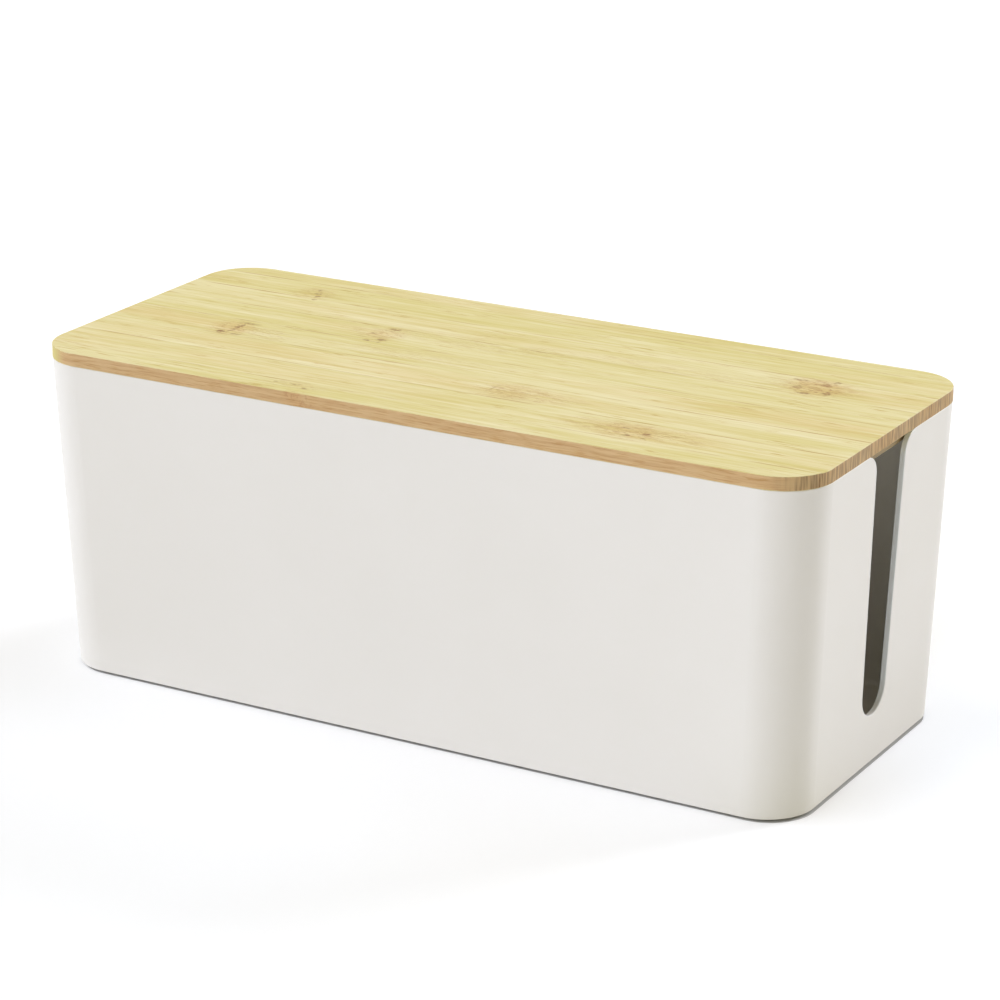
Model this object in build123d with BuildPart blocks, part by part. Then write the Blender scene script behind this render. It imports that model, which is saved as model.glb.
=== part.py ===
from build123d import *
import math
import os

# Cable management box: an open-topped shell moulded in one piece, with a cable slot in each
# end, closed by a bamboo lid that lifts straight off. Rubber feet hold it off the table.
# Millimetres. X runs along the box, the front faces -Y and Z is up. The origin is on the
# table, under the middle of the box.

# Lid board, one layer of bamboo strips
lid_length = 320.0
lid_width = 135.5
lid_thickness = 5.15
lid_corner_radius = 19.1
lid_edge_round = 0.3  # eased arris round the top and the underside

# Shell, drawn in towards the floor so that it leaves its mould
shell_height = 121.4  # underside of the floor to the rim
wall_thickness = 2.15  # walls and floor
end_draft = 2.31  # degrees, each end wall
side_draft = 1.2  # degrees, front and rear walls
floor_fillet = 2.5  # inside, where the walls meet the floor
base_round = 0.3  # outside, round the underside
rim_round = 0.35  # both edges of the rim and of the slots

# Cable slots, open at the rim
slot_rim_width = 24.6
slot_bottom_height = 18.9  # underside of the floor to the lowest point of a slot
slot_side_taper = 1.59  # degrees, each side
slot_flare_radius = 8.0  # where the sides turn out into the rim

# Cleats under the lid, which keep it flat and drop inside the shell
cleat_depth = 4.2
cleat_width = 20.0
cleat_edge_round = 0.5

# Feet, stuck into round pockets in the underside
foot_diameter = 12.0
foot_thickness = 1.6
foot_pocket_depth = 0.6
foot_inset = 19.0  # edge of the underside to the middle of a foot
foot_edge_round = 0.3

# Clearances
lid_overhang = 0.15  # lid past the rim, all round
cleat_clearance = 1.0  # cleats to the inside of the rim
foot_clearance = 0.15  # foot to the side of its pocket
cut_margin = 1.0  # a cutting solid past the face that it cuts

# Heights above the table
underside = foot_thickness - foot_pocket_depth
rim = underside + shell_height
slot_bottom = underside + slot_bottom_height

# Outside of the shell at the rim and at the underside
rim_length = lid_length - 2 * lid_overhang
rim_width = lid_width - 2 * lid_overhang
base_length = rim_length - 2 * shell_height * math.tan(math.radians(end_draft))
base_width = rim_width - 2 * shell_height * math.tan(math.radians(side_draft))
shell_corner_radius = lid_corner_radius - lid_overhang

foot_spacing_x = base_length - 2 * foot_inset
foot_spacing_y = base_width - 2 * foot_inset

# ---- Shell ----
# A slot's round bottom touches both of its leaning sides, which run on past the rim.
taper = math.radians(slot_side_taper)
slot_top = rim + cut_margin
half_slot_bottom = slot_rim_width / 2 - (rim - slot_bottom) * math.tan(taper)
half_slot_top = slot_rim_width / 2 + cut_margin * math.tan(taper)
slot_radius = half_slot_bottom * math.cos(taper) / (1 - math.sin(taper))
touch_y = slot_radius * math.cos(taper)
touch_z = slot_bottom + slot_radius * (1 - math.sin(taper))

with BuildPart() as box_body:
    with BuildSketch(Plane.XY.offset(underside)):
        Rectangle(rim_length, rim_width)
    extrude(amount=shell_height)
    rim_plane = Plane((0, 0, rim), z_dir=(0, 0, -1))  # the walls lean in below it
    draft(box_body.faces().filter_by(Axis.X), rim_plane, end_draft)
    draft(box_body.faces().filter_by(Axis.Y), rim_plane, side_draft)
    fillet(box_body.edges().group_by(Axis.Z)[1], radius=shell_corner_radius)
    offset(amount=-wall_thickness, openings=box_body.faces().sort_by(Axis.Z)[-1])

    level_faces = box_body.faces().filter_by(Plane.XY).sort_by(Axis.Z)
    fillet(level_faces[1].edges(), radius=floor_fillet)
    fillet(level_faces[0].edges(), radius=base_round)

    with BuildSketch(Plane.YZ):
        with BuildLine():
            ThreePointArc((touch_y, touch_z), (0, slot_bottom), (-touch_y, touch_z))
            Line((-touch_y, touch_z), (-half_slot_top, slot_top))
            Line((-half_slot_top, slot_top), (half_slot_top, slot_top))
            Line((half_slot_top, slot_top), (touch_y, touch_z))
        make_face()
    extrude(amount=lid_length / 2, both=True, mode=Mode.SUBTRACT)

    across_wall = box_body.edges().filter_by(Axis.X)
    slot_corners = across_wall.filter_by_position(Axis.Y, -slot_rim_width, slot_rim_width)
    fillet(slot_corners.group_by(Axis.Z)[-1], radius=slot_flare_radius)

    # The rim runs smoothly on from the slots' outlines, so it is rounded along with them.
    outlines = box_body.edges().filter_by_position(Axis.Y, -slot_rim_width, slot_rim_width)
    outlines = outlines.filter_by_position(Axis.Z, slot_bottom, rim, (False, False))
    fillet(outlines.filter_by(Axis.X, reverse=True), radius=rim_round)

    with BuildSketch(Plane.XY.offset(underside)):
        with GridLocations(foot_spacing_x, foot_spacing_y, 2, 2):
            Circle(foot_diameter / 2 + foot_clearance)
    extrude(amount=foot_pocket_depth, mode=Mode.SUBTRACT)

# ---- Lid ----
with BuildPart() as lid_board:
    with BuildSketch(Plane.XY.offset(rim)):
        RectangleRounded(lid_length, lid_width, lid_corner_radius)
    extrude(amount=lid_thickness)
    lid_faces = lid_board.faces().sort_by(Axis.Z)
    fillet(lid_faces[0].edges() + lid_faces[-1].edges(), radius=lid_edge_round)

# Both cleats fill the ends of one outline, which clears the inside of the rim all round.
outline_length = rim_length - 2 * (wall_thickness + cleat_clearance)
outline_width = rim_width - 2 * (wall_thickness + cleat_clearance)
outline_radius = shell_corner_radius - wall_thickness - cleat_clearance

cleats = {}
for name, side in (("lid_cleat_left", -1), ("lid_cleat_right", 1)):
    with BuildPart() as cleat:
        with BuildSketch(Plane.XY.offset(rim - cleat_depth)):
            RectangleRounded(outline_length, outline_width, outline_radius)
            with Locations((side * (outline_length - cleat_width) / 2, 0)):
                Rectangle(cleat_width, outline_width, mode=Mode.INTERSECT)
        extrude(amount=cleat_depth)
        fillet(cleat.faces().sort_by(Axis.Z)[0].edges(), radius=cleat_edge_round)
    cleats[name] = cleat

# ---- Feet ----
feet = {}
for row, side_y in (("front", -1), ("rear", 1)):
    for end, side_x in (("left", -1), ("right", 1)):
        with BuildPart() as foot:
            with BuildSketch(Plane.XY):
                with Locations((side_x * foot_spacing_x / 2, side_y * foot_spacing_y / 2)):
                    Circle(foot_diameter / 2)
            extrude(amount=foot_thickness)
            fillet(foot.faces().sort_by(Axis.Z)[0].edges(), radius=foot_edge_round)
        feet[f"foot_{row}_{end}"] = foot

# ---- Files ----
os.makedirs("parts", exist_ok=True)
for name, piece in {"box_body": box_body, "lid_board": lid_board, **cleats, **feet}.items():
    piece.part.label = name
    export_step(piece.part, f"parts/{name}.step")
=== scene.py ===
import math

import bpy
from mathutils import Matrix

# Cable management box: a moulded ABS shell with a cable slot in each end, a bamboo lid on
# two cleats, and four silicone feet. Everything is in metres, patterns are in millimetres.

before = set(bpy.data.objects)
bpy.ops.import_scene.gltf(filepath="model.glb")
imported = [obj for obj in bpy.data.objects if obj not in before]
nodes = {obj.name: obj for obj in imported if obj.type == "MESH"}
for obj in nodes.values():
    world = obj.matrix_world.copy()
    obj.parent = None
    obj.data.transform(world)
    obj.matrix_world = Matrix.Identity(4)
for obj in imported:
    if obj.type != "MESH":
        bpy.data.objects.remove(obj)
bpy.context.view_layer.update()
print("frame loaded:", len(nodes), "nodes")

mmPerMetre = 1000


def hexToLinear(text):  # an sRGB hex colour as linear light
    channels = [int(text[i:i + 2], 16) / 255 for i in (0, 2, 4)]
    linear = [c / 12.92 if c <= 0.04045 else ((c + 0.055) / 1.055) ** 2.4 for c in channels]
    return (*linear, 1)


def addNode(tree, kind, inputs=None, **settings):
    # An input is a value, an sRGB hex colour, a socket, or a node linked by its first live output.
    node = tree.nodes.new(kind)
    for name, value in settings.items():
        setattr(node, name, value)
    for socket, value in (inputs or {}).items():
        if isinstance(value, bpy.types.Node):
            value = next(output for output in value.outputs if output.enabled)
        if isinstance(value, bpy.types.NodeSocket):
            tree.links.new(value, node.inputs[socket])
        else:
            node.inputs[socket].default_value = hexToLinear(value) if isinstance(value, str) else value
    return node


def newMaterial(name):
    material = bpy.data.materials.new(name)
    material.use_nodes = True
    material.node_tree.nodes.clear()
    return material, material.node_tree


def finishNode(node, material):  # gives a CAD node its finish in every slot
    mesh = nodes[node].data
    if not mesh.materials:
        mesh.materials.append(material)
    for i in range(len(mesh.materials)):
        mesh.materials[i] = material


# Shell
shell = {
    "colour": "e6e3de",
    "shade": "e2dfd9",  # where the pigment is a little denser
    "paintedSlotLight": "ecf0f3",  # painted light: the slots' faces drawn paler and cooler, for the cool light they catch
    "slotHalf": 20,  # mm either side of the middle, a little past the slot
    "ior": 1.53,
    "roughness": 0.42,
    "roughnessSpread": 0.05,  # either way
    "grain": 0.35,  # mm, the mould's spark-eroded texture, drawn coarser than its 0.1 mm to show
    "grainDepth": 0.004,  # mm
    "flow": 45,  # mm, drift of the pigment along the melt's flow
}


def mouldedAbs():
    # Injection-moulded ABS from a fine spark-eroded mould: warm white with a soft satin
    # sheen, even from afar and faintly stippled close up.
    material, tree = newMaterial("mouldedAbs")
    coords = addNode(tree, "ShaderNodeTexCoord")
    place = coords.outputs["Object"]
    drift = addNode(tree, "ShaderNodeTexNoise", {
        "Vector": place,
        "Scale": mmPerMetre / shell["flow"],
        "Detail": 2,
    })
    pigmentAndSlotLight = addNode(tree, "ShaderNodeMix", {
        "Factor": drift,
        "A": shell["shade"],
        "B": shell["colour"],
    }, data_type="RGBA")

    # Painted light: near the middle of an end only the slot's faces look sideways, and there a paler,
    # cooler colour stands in for the light on them.
    sideways = addNode(tree, "ShaderNodeVectorMath", {0: coords.outputs["Normal"]}, operation="ABSOLUTE")
    sideways = addNode(tree, "ShaderNodeSeparateXYZ", {0: sideways}).outputs["Y"]
    fromMiddle = addNode(tree, "ShaderNodeVectorMath", {0: place}, operation="ABSOLUTE")
    fromMiddle = addNode(tree, "ShaderNodeSeparateXYZ", {0: fromMiddle}).outputs["Y"]
    slotHalf = shell["slotHalf"] / mmPerMetre
    paintedSlotLightMask = addNode(tree, "ShaderNodeMath", {0: fromMiddle, 1: slotHalf}, operation="LESS_THAN")
    paintedSlotLightMask = addNode(tree, "ShaderNodeMath", {0: paintedSlotLightMask, 1: sideways}, operation="MULTIPLY")
    pigmentAndSlotLight = addNode(tree, "ShaderNodeMix", {
        "Factor": paintedSlotLightMask,
        "A": pigmentAndSlotLight,
        "B": shell["paintedSlotLight"],
    }, data_type="RGBA")

    stipple = addNode(tree, "ShaderNodeTexNoise", {
        "Vector": place,
        "Scale": mmPerMetre / shell["grain"],
        "Detail": 1,
    })
    polish = addNode(tree, "ShaderNodeMapRange", {
        "Value": stipple,
        "To Min": shell["roughness"] - shell["roughnessSpread"],
        "To Max": shell["roughness"] + shell["roughnessSpread"],
    })
    depth = shell["grainDepth"] / mmPerMetre
    relief = addNode(tree, "ShaderNodeBump", {"Height": stipple, "Distance": depth})
    surface = addNode(tree, "ShaderNodeBsdfPrincipled", {
        "Base Color": pigmentAndSlotLight,
        "Roughness": polish,
        "Normal": relief,
        "IOR": shell["ior"],
    })
    addNode(tree, "ShaderNodeOutputMaterial", {"Surface": surface})
    return material


finishNode("box_body", mouldedAbs())
print("shell done")

# Bamboo
board = {
    "turn": 0,  # degrees, fibres along X
    "stripWidth": 19.07,  # mm
    "firstJoint": 0.8,  # mm from the middle of the board
    "caneShift": (900, 0, 60),  # mm, how far apart two strips may lie in the cane
    "fibre": ("eae0b7", "dbcf8e"),
    "stripTone": 0.3,  # how far the strips differ, as a share of the step between those two
    "drifts": ((90, 7, 1.6), (40, 3, 0.8)),  # mm along, mm across, weight
    "streaks": ((35, 1.2, 1.3), (10, 0.5, 0.85), (160, 2.5, 0.8)),  # the same
    # A grain is mm along, across and up. Its noise goes from one colour to the other over the span.
    "side": {"colours": ("be9968", "cdad7e"), "grain": (16, 20, 0.55), "span": (0.25, 0.75)},
    "end": {"colours": ("957a52", "c2a373"), "grain": (30, 0.65, 12), "span": (0.36, 0.64)},
    "paleEnd": "c9ba72",
    # How far a face turns before it takes on each look, where 1 is square on and -1 the far side
    "endTurn": (0.2, 0.75),
    "paleEndTurn": (-0.2, -0.6),
    "flatTurn": (0.35, 0.65),
    # Stains multiply the wood's own colour.
    "streak": {"colour": "f0ebc9", "span": (0, 1)},
    "dash": {"colour": "e2cf9d", "grain": (9, 0.55, 3), "span": (0.56, 0.7)},  # short dark fibres
    "dashPatches": {"grain": (26, 6), "span": (0.5, 0.62)},  # where they gather
    "sideDash": {"colour": "e2cf9d", "grain": (6, 9, 0.35), "span": (0.5, 0.68), "strength": 0.6},
    "joint": "cfaf80",
    "jointWidth": 1,  # mm
    "jointBreaks": {"grain": (22, 5), "span": (0.4, 0.65)},
    "warmth": {"colour": "f1deb6", "grain": (30, 3), "span": (0.2, 0.6)},  # nearer the cane's skin
    "ripple": {"colour": "c89e72", "grain": (8, 0.7), "span": (0.46, 0.62), "strength": 0.6},
    "knuckle": {"colour": "eed6b4", "grain": (7, 2), "span": (0.25, 0.55)},
    "stroke": {"colour": "c89e72", "grain": (2.5, 1), "span": (0.5, 0.64)},
    "scar": {"colour": "a67a50", "grain": (2, 0.9), "span": (0.2, 0.6)},
    "sway": (2, 1.2, 0),  # mm either way, of the outlines of spots
    "swayScale": 0.45,  # per mm
    "ior": 1.5,
    "roughness": 0.6,
    "roughnessSpread": 0.12,  # either way
    "polish": (12, 1.5),  # mm, grain of the lacquer
    "relief": (25, 0.6, 0.6),  # mm, grain of the planed fibres
    "reliefDepth": 0.01,  # mm
    # Soft ellipses, as x and y of the middle, reach along and across in mm, strength: warm patches
    "warmSpots": (
        (150, -9, 150, 12, 0.5), (-148, -9, 60, 12, 0.5), (90, -47, 50, 12, 0.4),
        (-72, 12, 26, 10, 0.3), (-170, 48, 50, 11, 0.2), (150, 48, 60, 11, 0.2),
        (150, 30, 50, 11, 0.4), (26, -28, 26, 11, 0.3), (-160, -45, 50, 24, 0.25),
        (165, -47, 60, 12, 0.2), (-30, -28, 180, 12, 0.38), (-20, 63, 170, 9, 0.25),
        (-40, 29, 130, 11, 0.2), (-60, -47, 110, 12, 0.25),
    ),
    # where the fibres part round a knuckle
    "ripples": (
        (-107, 46, 20, 11, 0.3), (-55, 11, 18, 11, 0.35), (-95, -11, 20, 9, 0.6),
        (29, -29, 30, 11, 0.7), (84, -47, 42, 11, 0.7), (116, 30, 26, 12, 0.6),
        (-20, 17, 60, 10, 0.35), (60, 24, 70, 8, 0.3), (-48, -60, 20, 6, 0.4),
        (-30, -8, 60, 9, 0.3),
    ),
    # the knuckles themselves
    "knuckles": (
        (-107, 45.5, 11, 11, 0.25), (-53, 11, 10, 12, 0.35), (-109, -10, 12, 13, 0.45),
        (116.5, 30, 16, 14, 0.55), (24, -28, 13, 13, 0.2), (82, -47.5, 16, 12, 0.3),
        (-46, -60, 8, 4, 0.2), (-41, -67.8, 9, 3, 0.3),
    ),
    # and the dark scars on them
    "scars": (
        (-107.5, 49.7, 1.6, 1.6, 0.5), (-106, 45.4, 1.6, 1.8, 0.6), (-104, 42.1, 1.6, 1.6, 0.8),
        (-103, 38.1, 1.4, 1.4, 0.6), (-53, 17.8, 3, 1.8, 0.7), (-57.6, 10, 1.4, 1.2, 0.5),
        (-51, 3.8, 3, 1.8, 0.7), (-56, 1, 1.6, 1.2, 0.6), (-50, 1, 1.6, 1.2, 0.5),
        (-107, -9, 1.2, 9, 0.75), (-110, -16.2, 3, 2, 1), (-106, -2.2, 6, 1.2, 0.6),
        (-103, -16.8, 4, 1, 0.5), (108, 36, 4, 1.4, 0.6), (121, 38.5, 2, 1.6, 0.8),
        (118, 34, 3.5, 2.5, 0.5), (123, 25, 2.5, 3, 0.7), (115, 21.5, 3.5, 1.2, 0.8),
        (110, 28, 2.5, 3, 0.4), (16, -28, 1, 6, 0.3), (80, -45, 3, 1, 0.5),
        (89, -48, 2.2, 1.6, 0.9), (83, -52, 1.8, 1.4, 0.7), (90, -53, 1.6, 1, 0.5),
        (-48, -59.3, 2.6, 0.9, 0.6), (-43, -62, 2, 1, 0.6), (-56, -59.5, 2, 0.8, 0.4),
    ),
}
cleatWoodWithPaintedShade = board | {
    "turn": 90,  # its fibres run across the board
    # its long faces darker: partly a deeper tone, partly painted shade from sitting under the lid
    "side": board["side"] | {"colours": ("8a7853", "9a8760")},
    "knuckles": (),  # clear wood, so no spots are drawn on it
}
spotCore = 0.35  # share of a soft ellipse's reach that has its full strength


def grain(tree, where, along, across, up=4):  # noise drawn out to sizes in mm
    drawn = addNode(tree, "ShaderNodeMapping", {"Vector": where, "Scale": (1 / along, 1 / across, 1 / up)})
    return addNode(tree, "ShaderNodeTexNoise", {"Vector": drawn, "Scale": 1, "Detail": 2})


def layered(tree, where, start, layers, middle):  # grains summed by weight, about a middle value
    total = addNode(tree, "ShaderNodeMath", {
        0: start,
        1: middle - sum(weight for *_, weight in layers) / 2,
    }, operation="ADD")
    for along, across, weight in layers:
        fibre = grain(tree, where, along, across)
        total = addNode(tree, "ShaderNodeMath", {0: fibre, 1: weight, 2: total}, operation="MULTIPLY_ADD")
    return total


def softSpots(tree, where, spots):  # the strongest of some soft ellipses at each place
    strongest = 0
    for x, y, along, across, strength in spots:
        centred = addNode(tree, "ShaderNodeMapping", {
            "Vector": where,
            "Location": (-x / along, -y / across, 0),
            "Scale": (1 / along, 1 / across, 0),
        })
        reach = addNode(tree, "ShaderNodeVectorMath", {0: centred}, operation="LENGTH")
        spot = addNode(tree, "ShaderNodeMapRange", {
            "Value": reach,
            "From Min": spotCore,
            "From Max": 1,
            "To Min": strength,
            "To Max": 0,
        }, interpolation_type="SMOOTHSTEP")
        strongest = addNode(tree, "ShaderNodeMath", {0: strongest, 1: spot}, operation="MAXIMUM")
    return strongest


def patchy(tree, where, patches):  # a mask that comes and goes as its grain crosses the span
    low, high = patches["span"]
    return addNode(tree, "ShaderNodeMapRange", {
        "Value": grain(tree, where, *patches["grain"]),
        "From Min": low,
        "From Max": high,
    })


def stained(tree, base, stain, pattern, mask=1):
    # The base multiplied by the stain's colour as the pattern crosses its span, inside the mask.
    low, high = stain["span"]
    cover = addNode(tree, "ShaderNodeMapRange", {
        "Value": pattern,
        "From Min": low,
        "From Max": high,
        "To Max": stain.get("strength", 1),
    }, interpolation_type="SMOOTHSTEP")
    cover = addNode(tree, "ShaderNodeMath", {0: cover, 1: mask}, operation="MULTIPLY")
    return addNode(tree, "ShaderNodeMix", {
        "Factor": cover,
        "A": base,
        "B": stain["colour"],
    }, data_type="RGBA", blend_type="MULTIPLY")


def grainStained(tree, base, stain, where, mask=1):  # stained in the pattern of the stain's own grain
    return stained(tree, base, stain, grain(tree, where, *stain["grain"]), mask)


def chosen(tree, one, other, selector, span):  # one colour or the other, as the selector crosses the span
    low, high = span
    share = addNode(tree, "ShaderNodeMapRange", {
        "Value": selector,
        "From Min": low,
        "From Max": high,
    }, interpolation_type="SMOOTHSTEP")
    return addNode(tree, "ShaderNodeMix", {"Factor": share, "A": one, "B": other}, data_type="RGBA")


def grained(tree, look, where):  # two colours in the pattern of their grain
    return chosen(tree, *look["colours"], grain(tree, where, *look["grain"]), look["span"])


def planedBamboo(name, recipe):
    # Bamboo strips glued edge to edge, planed, sanded and matt lacquered: pale yellow with short
    # fine fibres, warm patches, brown scars at the cane's knuckles, browner long edges and
    # striped ends.
    material, tree = newMaterial(name)
    turn = (0, 0, math.radians(recipe["turn"]))
    coords = addNode(tree, "ShaderNodeTexCoord")
    place = addNode(tree, "ShaderNodeMapping", {
        "Vector": coords.outputs["Object"],
        "Rotation": turn,
        "Scale": (mmPerMetre,) * 3,
    })
    facing = addNode(tree, "ShaderNodeMapping", {"Vector": coords.outputs["Normal"], "Rotation": turn})
    lengthwise = addNode(tree, "ShaderNodeSeparateXYZ", {0: facing}).outputs["X"]
    turned = addNode(tree, "ShaderNodeVectorMath", {0: facing}, operation="ABSOLUTE")
    turned = addNode(tree, "ShaderNodeSeparateXYZ", {0: turned})

    # Each strip has its own tone and its own stretch of cane.
    across = addNode(tree, "ShaderNodeSeparateXYZ", {0: place}).outputs["Y"]
    strips = addNode(tree, "ShaderNodeMath", {0: across, 1: recipe["firstJoint"]}, operation="SUBTRACT")
    strips = addNode(tree, "ShaderNodeMath", {0: strips, 1: recipe["stripWidth"]}, operation="DIVIDE")
    number = addNode(tree, "ShaderNodeMath", {0: strips}, operation="FLOOR")
    chance = addNode(tree, "ShaderNodeTexWhiteNoise", {"W": number}, noise_dimensions="1D")
    cane = addNode(tree, "ShaderNodeVectorMath", {
        0: chance.outputs["Color"],
        1: recipe["caneShift"],
        2: place,
    }, operation="MULTIPLY_ADD")
    tone = addNode(tree, "ShaderNodeMath", {0: chance, 1: recipe["stripTone"]}, operation="MULTIPLY")
    drift = layered(tree, cane, tone, recipe["drifts"], 0.5 - recipe["stripTone"] / 2)
    flat = chosen(tree, *recipe["fibre"], drift, (0, 1))
    flat = stained(tree, flat, recipe["streak"], layered(tree, cane, 0, recipe["streaks"], 0.5))
    flat = grainStained(tree, flat, recipe["dash"], cane, patchy(tree, place, recipe["dashPatches"]))

    # The long edges show fine level fibres, the ends short upright ones. The left end is paler.
    sides = grainStained(tree, grained(tree, recipe["side"], cane), recipe["sideDash"], cane)
    ends = grained(tree, recipe["end"], place)
    edges = chosen(tree, sides, ends, turned.outputs["X"], recipe["endTurn"])
    edges = chosen(tree, edges, recipe["paleEnd"], lengthwise, recipe["paleEndTurn"])
    wood = chosen(tree, edges, flat, turned.outputs["Z"], recipe["flatTurn"])

    # Broken dark lines along the glue joints
    middle = addNode(tree, "ShaderNodeMath", {0: strips}, operation="FRACT")
    middle = addNode(tree, "ShaderNodeMath", {0: middle, 1: 0.5}, operation="SUBTRACT")
    joint = addNode(tree, "ShaderNodeMath", {0: middle}, operation="ABSOLUTE")
    half = recipe["jointWidth"] / 2 / recipe["stripWidth"]
    glue = {"colour": recipe["joint"], "span": (0.5 - half, 0.5)}
    wood = stained(tree, wood, glue, joint, patchy(tree, place, recipe["jointBreaks"]))

    # Warm patches and knuckles, their outlines swayed by a few millimetres
    if recipe["knuckles"]:
        sway = addNode(tree, "ShaderNodeTexNoise", {
            "Vector": place,
            "Scale": recipe["swayScale"],
            "Detail": 2,
        })
        where = addNode(tree, "ShaderNodeVectorMath", {
            0: sway.outputs["Color"],
            1: [2 * reach for reach in recipe["sway"]],
            2: place,
        }, operation="MULTIPLY_ADD")
        where = addNode(tree, "ShaderNodeVectorMath", {0: where, 1: recipe["sway"]}, operation="SUBTRACT")
        warmSpots = softSpots(tree, where, recipe["warmSpots"])
        wood = grainStained(tree, wood, recipe["warmth"], cane, warmSpots)
        ripples = softSpots(tree, where, recipe["ripples"])
        wood = grainStained(tree, wood, recipe["ripple"], where, ripples)
        knuckles = softSpots(tree, where, recipe["knuckles"])
        wood = grainStained(tree, wood, recipe["knuckle"], place, knuckles)
        wood = grainStained(tree, wood, recipe["stroke"], where, knuckles)
        scars = softSpots(tree, where, recipe["scars"])
        wood = grainStained(tree, wood, recipe["scar"], place, scars)

    polish = addNode(tree, "ShaderNodeMapRange", {
        "Value": grain(tree, place, *recipe["polish"]),
        "To Min": recipe["roughness"] - recipe["roughnessSpread"],
        "To Max": recipe["roughness"] + recipe["roughnessSpread"],
    })
    relief = addNode(tree, "ShaderNodeBump", {
        "Height": grain(tree, cane, *recipe["relief"]),
        "Distance": recipe["reliefDepth"] / mmPerMetre,
    })
    surface = addNode(tree, "ShaderNodeBsdfPrincipled", {
        "Base Color": wood,
        "Roughness": polish,
        "Normal": relief,
        "IOR": recipe["ior"],
    })
    addNode(tree, "ShaderNodeOutputMaterial", {"Surface": surface})
    return material


finishNode("lid_board", planedBamboo("planedBamboo", board))
cleatBambooWithPaintedShade = planedBamboo("cleatBambooWithPaintedShade", cleatWoodWithPaintedShade)
for node in ("lid_cleat_left", "lid_cleat_right"):
    finishNode(node, cleatBambooWithPaintedShade)
print("lid done")

# Feet
feet = {
    "colour": "8d8c88",
    "shade": "7f7e7a",
    "ior": 1.41,
    "roughness": 0.7,
    "cloud": 3,  # mm, uneven dust bloom
    "grain": 0.4,  # mm, the mould's matt texture, drawn coarser than its 0.1 mm to show
    "grainDepth": 0.01,  # mm
}


def mouldedSilicone():
    # Compression-moulded silicone from a matt mould: mid grey, soft looking, with a faint
    # uneven bloom and hardly any shine.
    material, tree = newMaterial("mouldedSilicone")
    place = addNode(tree, "ShaderNodeTexCoord").outputs["Object"]
    cloud = addNode(tree, "ShaderNodeTexNoise", {
        "Vector": place,
        "Scale": mmPerMetre / feet["cloud"],
        "Detail": 3,
    })
    bloom = addNode(tree, "ShaderNodeMix", {
        "Factor": cloud,
        "A": feet["shade"],
        "B": feet["colour"],
    }, data_type="RGBA")
    texture = addNode(tree, "ShaderNodeTexNoise", {
        "Vector": place,
        "Scale": mmPerMetre / feet["grain"],
        "Detail": 1,
    })
    depth = feet["grainDepth"] / mmPerMetre
    relief = addNode(tree, "ShaderNodeBump", {"Height": texture, "Distance": depth})
    surface = addNode(tree, "ShaderNodeBsdfPrincipled", {
        "Base Color": bloom,
        "Roughness": feet["roughness"],
        "Normal": relief,
        "IOR": feet["ior"],
    })
    addNode(tree, "ShaderNodeOutputMaterial", {"Surface": surface})
    return material


silicone = mouldedSilicone()
for node in nodes:
    if node.startswith("foot"):
        finishNode(node, silicone)
print("feet done")

# Studio
studio = {
    "floorSize": 14,  # m
    "floorColour": "fbfbfb",
    "floorLift": 0.12,  # light not seen by diffuse rays, so that the floor reads as white paper
    # and more of it in the box's long soft shadows, as soft ellipses like the lid's
    "shadowLift": ((215, 70, 120, 150, 0.265), (-80, -200, 200, 170, 0.09)),
    "shadowLiftColour": "cfe0ff",
    "backdropColour": "ffffff",  # what lies beyond the floor, for the same rays
    "backdrop": 1,
    "skyColour": "fff6d9",
    "sky": 0.413,
}
paintedContactShadow = {  # painted shadow where the box stands, in mm
    "middle": (1.4, -1.3, 0),
    "corner": (136.4, 45.7, 0),  # middle of a rounded corner
    "radius": 17.6,
    "blur": 0.1,  # of the outline, either way
    # a painted dark core under the box and a painted soft shadow round it
    "paintedShadowCore": "c5c5c5",
    "paintedShadowHalo": "f3f3f3",
    "paintedShadowHaloWidth": 90,
    "paintedBounceShade": "e1e0cb",  # painted shade in what bounces up by the front right corner
    "paintedBounceShadeSpots": ((158, -62, 50, 50, 0.5),),
}


def placed(name, data, place):  # an object in the scene, with its place and turn
    thing = bpy.data.objects.new(name, data)
    thing.matrix_world = place
    bpy.context.scene.collection.objects.link(thing)
    return thing


def aimed(turn, down):  # level from the front to the rear, then turned to the left and tipped down
    tip = Matrix.Rotation(math.radians(90 - down), 4, "X")
    return Matrix.Rotation(math.radians(turn), 4, "Z") @ tip


def seenRays(tree):  # 1 for the rays that show the studio itself: the camera's, mirrored and clear
    ray = addNode(tree, "ShaderNodeLightPath")
    seen = addNode(tree, "ShaderNodeMath", {
        0: ray.outputs["Is Camera Ray"],
        1: ray.outputs["Is Glossy Ray"],
    }, operation="ADD")
    clear = ray.outputs["Is Transmission Ray"]
    return addNode(tree, "ShaderNodeMath", {0: seen, 1: clear}, operation="ADD")


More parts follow.
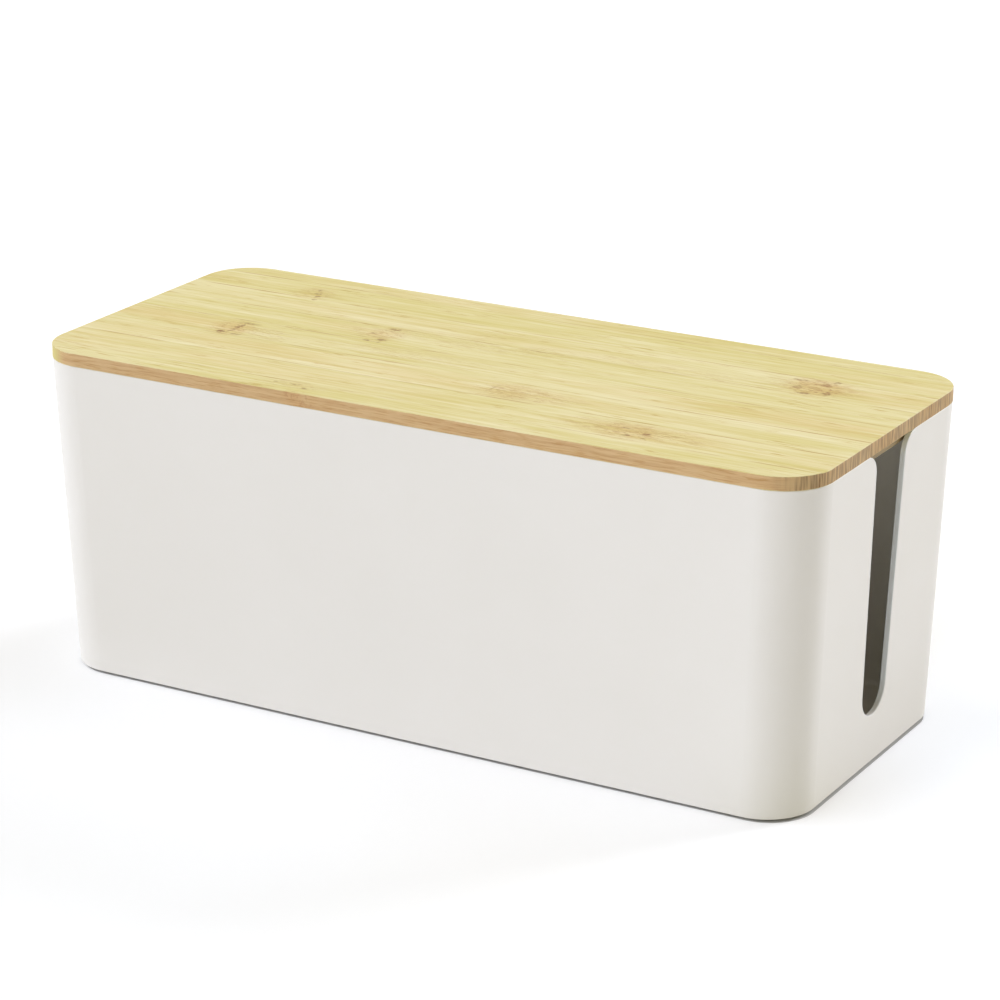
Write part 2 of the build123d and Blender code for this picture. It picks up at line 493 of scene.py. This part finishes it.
def paperWithPaintedShadow():
    # Uncoated white paper off a roll: matt and even, with a painted shadow where the box stands and
    # painted shade in what it bounces up onto the box.
    material, tree = newMaterial("paperWithPaintedShadow")
    place = addNode(tree, "ShaderNodeTexCoord").outputs["Object"]
    place = addNode(tree, "ShaderNodeMapping", {"Vector": place, "Scale": (mmPerMetre, mmPerMetre, 0)})

    # How far away the box's rounded outline is
    away = addNode(tree, "ShaderNodeVectorMath", {0: place, 1: paintedContactShadow["middle"]}, operation="SUBTRACT")
    away = addNode(tree, "ShaderNodeVectorMath", {0: away}, operation="ABSOLUTE")
    away = addNode(tree, "ShaderNodeVectorMath", {0: away, 1: paintedContactShadow["corner"]}, operation="SUBTRACT")
    away = addNode(tree, "ShaderNodeVectorMath", {0: away, 1: (0, 0, 0)}, operation="MAXIMUM")
    away = addNode(tree, "ShaderNodeVectorMath", {0: away}, operation="LENGTH")
    radius = paintedContactShadow["radius"]
    outside = addNode(tree, "ShaderNodeMapRange", {
        "Value": away,
        "From Min": radius - paintedContactShadow["blur"],
        "From Max": radius + paintedContactShadow["blur"],
    }, interpolation_type="SMOOTHSTEP")
    # Painted shadow, seen by the camera: dark inside the outline, a soft halo outside it
    paintedShadowHalo = addNode(tree, "ShaderNodeMapRange", {
        "Value": away,
        "From Min": radius,
        "From Max": radius + paintedContactShadow["paintedShadowHaloWidth"],
    }, interpolation_type="SMOOTHSTEP")
    shade = addNode(tree, "ShaderNodeMix", {
        "Factor": paintedShadowHalo,
        "A": paintedContactShadow["paintedShadowHalo"],
        "B": studio["floorColour"],
    }, data_type="RGBA")
    shade = addNode(tree, "ShaderNodeMix", {
        "Factor": outside,
        "A": paintedContactShadow["paintedShadowCore"],
        "B": shade,
    }, data_type="RGBA")
    # Painted shade in the light the floor bounces up onto the box's front right corner
    paintedShadeBounce = addNode(tree, "ShaderNodeMix", {
        "Factor": softSpots(tree, place, paintedContactShadow["paintedBounceShadeSpots"]),
        "A": studio["floorColour"],
        "B": paintedContactShadow["paintedBounceShade"],
    }, data_type="RGBA")
    # the camera sees the painted shadow, other rays the painted shade
    shade = addNode(tree, "ShaderNodeMix", {
        "Factor": addNode(tree, "ShaderNodeLightPath").outputs["Is Camera Ray"],
        "A": paintedShadeBounce,
        "B": shade,
    }, data_type="RGBA")
    paper = addNode(tree, "ShaderNodeBsdfDiffuse", {"Color": shade})
    seen = addNode(tree, "ShaderNodeMath", {0: seenRays(tree), 1: outside}, operation="MULTIPLY")
    lift = addNode(tree, "ShaderNodeVectorMath", {
        0: softSpots(tree, place, studio["shadowLift"]),
        1: hexToLinear(studio["shadowLiftColour"])[:3],
        2: (studio["floorLift"],) * 3,
    }, operation="MULTIPLY_ADD")
    glow = addNode(tree, "ShaderNodeEmission", {"Color": lift, "Strength": seen})
    both = addNode(tree, "ShaderNodeAddShader", {0: paper, 1: glow})
    addNode(tree, "ShaderNodeOutputMaterial", {"Surface": both})
    return material


def makeFloor():
    half = studio["floorSize"] / 2
    corners = [(-half, -half, 0), (half, -half, 0), (half, half, 0), (-half, half, 0)]
    mesh = bpy.data.meshes.new("floor")
    mesh.from_pydata(corners, [], [(0, 1, 2, 3)])
    mesh.materials.append(paperWithPaintedShadow())
    placed("floor", mesh, Matrix())


def lightSky():
    world = bpy.data.worlds.new("studioSky")
    world.use_nodes = True
    tree = world.node_tree
    tree.nodes.clear()
    sky = addNode(tree, "ShaderNodeBackground", {"Color": studio["skyColour"], "Strength": studio["sky"]})
    backdrop = addNode(tree, "ShaderNodeBackground", {
        "Color": studio["backdropColour"],
        "Strength": studio["backdrop"],
    })
    both = addNode(tree, "ShaderNodeMixShader", {0: seenRays(tree), 1: sky, 2: backdrop})
    addNode(tree, "ShaderNodeOutputWorld", {"Surface": both})
    bpy.context.scene.world = world


softBoxes = {  # degrees, with the turn counted from the front towards the right
    "leftSoftBox": {"turn": -51, "height": 37, "spread": 73, "level": 0.795, "colour": "e8eeff"},
    "rightSoftBox": {"turn": 152.8, "height": 23.5, "spread": 27, "level": 0.69, "colour": "f0f3ff"},
}

wallGlow = {"place": (0.12, 0.02, 0.1), "size": 0.01, "power": 0.0045, "colour": "fafbff"}  # W


def lightFrom(name, recipe):  # a far soft box
    lamp = bpy.data.lights.new(name, "SUN")
    lamp.energy = recipe["level"] * math.pi  # at level 1 a white face turned to it renders white
    lamp.color = hexToLinear(recipe["colour"])[:3]
    lamp.angle = math.radians(recipe["spread"])
    placed(name, lamp, aimed(recipe["turn"], recipe["height"]))


def lightInside():  # what the thin walls let through, gathered under the lid
    lamp = bpy.data.lights.new("wallGlow", "POINT")
    lamp.energy = wallGlow["power"]
    lamp.color = hexToLinear(wallGlow["colour"])[:3]
    lamp.shadow_soft_size = wallGlow["size"]
    placed("wallGlow", lamp, Matrix.Translation(wallGlow["place"]))


makeFloor()
lightSky()
for name, recipe in softBoxes.items():
    lightFrom(name, recipe)
lightInside()
print("studio done")

# Camera
cameraView = {
    "place": (0.6177, -1.0622, 0.5005),
    "lens": 125.78,  # mm
    "sensor": 36,  # mm
    "reach": 60,  # m, well past the floor's far edge
    "turn": 30.071,  # degrees, to the left of +Y
    "tilt": 19.145,  # degrees down
    "roll": -0.117,  # degrees
}


def makeCamera():
    camera = bpy.data.cameras.new("camera")
    camera.lens = cameraView["lens"]
    camera.sensor_width = cameraView["sensor"]
    camera.clip_end = cameraView["reach"]
    aim = aimed(cameraView["turn"], cameraView["tilt"])
    roll = Matrix.Rotation(math.radians(cameraView["roll"]), 4, "Z")
    place = Matrix.Translation(cameraView["place"]) @ aim @ roll
    bpy.context.scene.camera = placed("camera", camera, place)


makeCamera()
bpy.context.scene.view_settings.view_transform = "Standard"
print("camera done")
